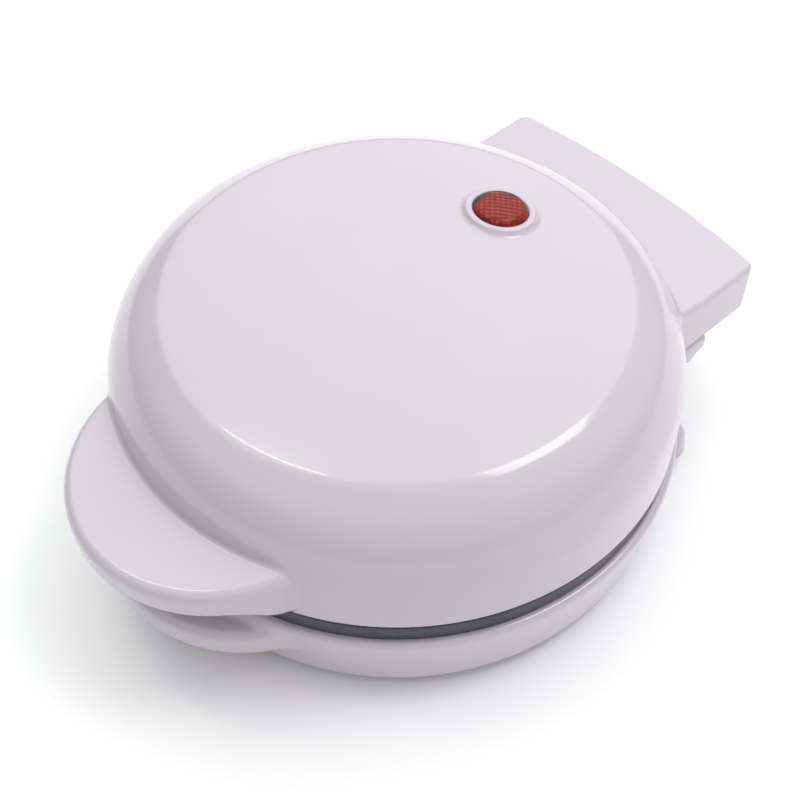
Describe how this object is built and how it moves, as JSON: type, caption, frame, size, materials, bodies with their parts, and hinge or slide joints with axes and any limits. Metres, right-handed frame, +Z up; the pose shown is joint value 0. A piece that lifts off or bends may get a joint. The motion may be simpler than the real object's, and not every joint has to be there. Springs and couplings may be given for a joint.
{
  "type": "mini waffle maker",
  "caption": "Small round hinged waffle maker with a domed lid, crescent lift tab, non-stick grid plates and a signal lamp on the lid.",
  "frame": {"origin": "on the table under the axis of the round body, midway between the lift tab's tip and the back of the hinge block", "axes": "+Z up, -Y towards the user (lift tab), +Y towards the hinge, +X to the user's right"},
  "size_m": [0.1284, 0.162, 0.0634],
  "materials": {
    "lilac_plastic": "gloss moulded plastic, pale lilac pink",
    "dark_plastic": "fine satin",
    "non_stick": "cast aluminium with dark non-stick coating",
    "rubber": "matte",
    "steel": "plain bright steel",
    "bright_aluminium": "pressed sheet",
    "lens_red": "clear red, ribbed",
    "pale_plastic": "natural nylon",
    "lamp_glass": "clear",
    "wire": "glass-braid sleeve"
  },
  "bodies": {
    "base": {"base_housing": "lilac_plastic", "base_bottom_cover": "dark_plastic", "rubber_feet": "rubber", "bottom_cover_screws": "steel", "lower_plate": "non_stick", "lower_heating_element": "steel", "lower_reflector": "bright_aluminium", "lower_plate_screws": "steel", "cord_gland": "rubber", "cord_clamp": "dark_plastic", "terminal_block": "pale_plastic", "thermal_fuse": "steel", "base_wires": "wire"},
    "lid": {"lid_housing": "lilac_plastic", "tab_cover": "lilac_plastic", "tab_cover_screws": "steel", "upper_plate": "non_stick", "upper_heating_element": "steel", "upper_reflector": "bright_aluminium", "upper_plate_screws": "steel", "thermostat": "steel", "lamp_bezel": "lilac_plastic", "lamp_lens": "lens_red", "lamp_holder": "pale_plastic", "neon_lamp": "lamp_glass", "lamp_resistor": "pale_plastic", "lid_wires": "wire", "hinge_pins": "steel"}
  },
  "joints": [
    {"name": "lid_hinge", "type": "hinge", "parent": "base", "child": "lid", "pos_m": [0, 0.07, 0.029], "axis": [-1, 0, 0], "range_deg": [0, 100]}
  ]
}
